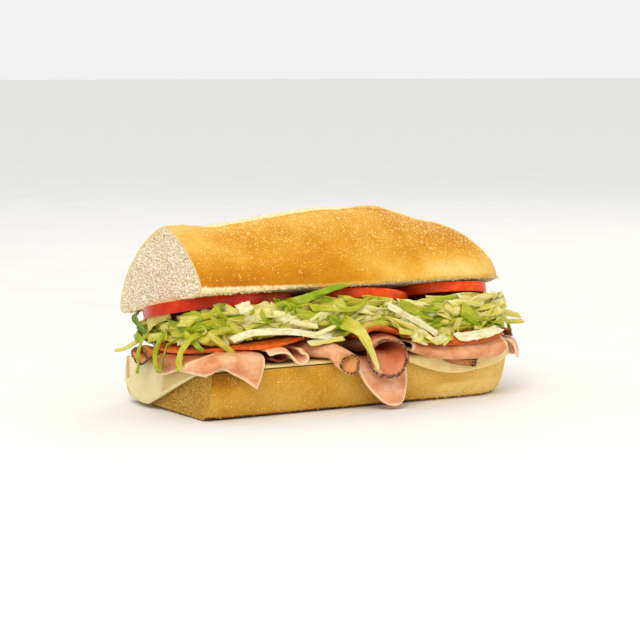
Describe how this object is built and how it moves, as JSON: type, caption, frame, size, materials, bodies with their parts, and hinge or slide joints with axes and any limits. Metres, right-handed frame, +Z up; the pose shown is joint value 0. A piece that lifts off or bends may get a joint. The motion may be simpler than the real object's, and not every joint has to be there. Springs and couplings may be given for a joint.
{
  "type": "submarine sandwich",
  "caption": "Submarine sandwich on a crusty roll cut across at one end, with cheese, folded ham, salami, onion, shredded lettuce and tomato.",
  "frame": {"origin": "on the flat underside of the roll, near its middle", "axes": "+X along the roll from the cut end to the rounded end, -Y the open front, +Z up"},
  "size_m": [0.2084, 0.1086, 0.0959],
  "materials": {
    "crust": "golden baked crust with cornmeal, pale crumb where cut",
    "cheese": "ivory sliced cheese, satin",
    "ham": "moist pink sliced ham",
    "peppered_ham": "browned sliced meat with a peppered edge",
    "salami": "oily dark red sliced sausage",
    "tomato": "wet red tomato",
    "onion": "translucent white onion",
    "lettuce": "shredded pale green lettuce"
  },
  "bodies": {
    "root": {"bun_bottom": "crust", "bun_top": "crust", "cheese_left": "cheese", "cheese_right": "cheese", "ham_left": "ham", "ham_fold": "ham", "ham_curl": "ham", "ham_roll": "ham", "ham_tongue": "ham", "ham_right": "ham", "ham_end": "ham", "ham_cup": "peppered_ham", "peppered_roll": "peppered_ham", "peppered_end": "peppered_ham", "peppered_scrap": "peppered_ham", "capicola": "salami", "salami_left": "salami", "salami_right": "salami", "tomato_left": "tomato", "tomato_middle": "tomato", "tomato_right": "tomato", "onion_long": "onion", "onion_front": "onion", "onion_low": "onion", "onion_top": "onion", "lettuce": "lettuce"}
  },
  "joints": []
}
